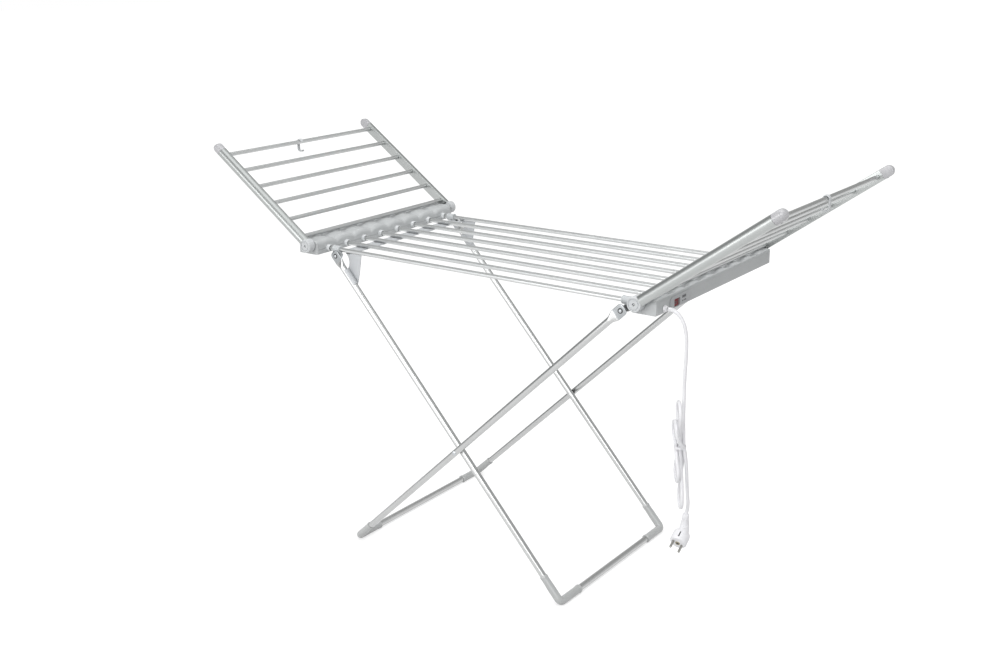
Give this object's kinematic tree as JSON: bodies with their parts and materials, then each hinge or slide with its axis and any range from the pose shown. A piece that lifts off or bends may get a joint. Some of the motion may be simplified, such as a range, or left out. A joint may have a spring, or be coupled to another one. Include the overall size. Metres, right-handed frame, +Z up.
{
  "type": "heated clothes airer",
  "caption": "Heated clothes airer: tubular rack between two end housings, two folding barred wings and slide-fold scissor legs, with rocker switch, cord and plug.",
  "frame": {"origin": "on the floor under the middle of the rack", "axes": "+X along the rack tubes towards the housing with the switch, +Y across the tubes towards the side without the cord, +Z up"},
  "size_m": [1.4822, 0.54, 0.9521],
  "materials": {
    "grey_plastic": "light grey moulded plastic, fine matte grain",
    "aluminium": "satin drawn aluminium",
    "polished_aluminium": "bright smooth aluminium tube",
    "pressed_steel": "silver grey painted pressed steel",
    "red_plastic": "translucent dark red rocker",
    "cable_sheath": "silicone heating cable sheath",
    "white_plastic": "white cord and plug plastic",
    "pale_plastic": "pale grey moulded plastic"
  },
  "bodies": {
    "rack": {"cord_drop": "white_plastic", "cord_hank": "white_plastic", "gland": "white_plastic", "heating_cable": "cable_sheath", "left_cover": "grey_plastic", "left_tray": "grey_plastic", "plug": "white_plastic", "rack_tube_1": "aluminium", "rack_tube_2": "aluminium", "rack_tube_3": "aluminium", "rack_tube_4": "aluminium", "rack_tube_5": "aluminium", "rack_tube_6": "aluminium", "rack_tube_7": "aluminium", "rack_tube_8": "aluminium", "right_bracket_front": "pressed_steel", "right_bracket_rear": "pressed_steel", "right_cover": "grey_plastic", "right_tray": "grey_plastic", "switch_body": "pale_plastic"},
    "left_wing": {"left_wing_bar_1": "aluminium", "left_wing_bar_2": "aluminium", "left_wing_bar_3": "aluminium", "left_wing_bar_4": "aluminium", "left_wing_bar_5": "aluminium", "left_wing_bar_6": "aluminium", "left_wing_cap_front": "pale_plastic", "left_wing_cap_rear": "pale_plastic", "left_wing_hub_front": "grey_plastic", "left_wing_hub_rear": "grey_plastic", "left_wing_rail_front": "aluminium", "left_wing_rail_rear": "aluminium"},
    "left_hook": {"left_wing_hook": "pale_plastic"},
    "right_wing": {"right_wing_bar_1": "aluminium", "right_wing_bar_2": "aluminium", "right_wing_bar_3": "aluminium", "right_wing_bar_4": "aluminium", "right_wing_bar_5": "aluminium", "right_wing_bar_6": "aluminium", "right_wing_cap_front": "pale_plastic", "right_wing_cap_rear": "pale_plastic", "right_wing_hub_front": "grey_plastic", "right_wing_hub_rear": "grey_plastic", "right_wing_rail_front": "aluminium", "right_wing_rail_rear": "aluminium"},
    "right_hook": {"right_wing_hook": "pale_plastic"},
    "rocker": {"rocker": "red_plastic"},
    "leg_slider": {"sleeve_front": "pressed_steel", "sleeve_rear": "pressed_steel"},
    "leg_a": {"leg_a_cross_bar": "polished_aluminium", "leg_a_elbow_front": "grey_plastic", "leg_a_elbow_rear": "grey_plastic", "leg_a_tube_front": "polished_aluminium", "leg_a_tube_rear": "polished_aluminium", "lock_bracket": "pressed_steel"},
    "leg_b": {"leg_b_cross_bar": "polished_aluminium", "leg_b_elbow_front": "grey_plastic", "leg_b_elbow_rear": "grey_plastic", "leg_b_tube_front": "polished_aluminium", "leg_b_tube_rear": "polished_aluminium"}
  },
  "joints": [
    {"name": "leg_slide", "type": "slide", "parent": "rack", "child": "leg_slider", "axis": [1, 0, 0], "range_m": [0, 0.7428]},
    {"name": "leg_a_pivot", "type": "hinge", "parent": "leg_slider", "child": "leg_a", "pos_m": [-0.3923, 0, 0.7105], "axis": [0, 1, 0], "range_deg": [0, 130.98]},
    {"name": "leg_b_pivot", "type": "hinge", "parent": "rack", "child": "leg_b", "pos_m": [0.3969, 0, 0.7105], "axis": [0, 1, 0], "range_deg": [0, 42.3]},
    {"name": "wing_left_hinge", "type": "hinge", "parent": "rack", "child": "left_wing", "pos_m": [-0.443, 0, 0.737], "axis": [0, 1, 0], "range_deg": [0, 140]},
    {"name": "wing_right_hinge", "type": "hinge", "parent": "rack", "child": "right_wing", "pos_m": [0.443, 0, 0.737], "axis": [0, -1, 0], "range_deg": [0, 140]},
    {"name": "hook_left_swing", "type": "hinge", "parent": "left_wing", "child": "left_hook", "pos_m": [-0.70849, 0, 0.92567], "axis": [0, 1, 0], "continuous": true},
    {"name": "hook_right_swing", "type": "hinge", "parent": "right_wing", "child": "right_hook", "pos_m": [0.70849, 0, 0.92567], "axis": [0, -1, 0], "continuous": true},
    {"name": "rocker_tilt", "type": "hinge", "parent": "rack", "child": "rocker", "pos_m": [0.4808, -0.1715, 0.7255], "axis": [0, 0, -1], "range_deg": [0, 12]}
  ],
  "couplings": [
    {"joint": "leg_a_pivot", "follows": "leg_slide", "rad_per_m": 3.0775},
    {"joint": "leg_b_pivot", "follows": "leg_slide", "rad_per_m": 0.99369}
  ]
}
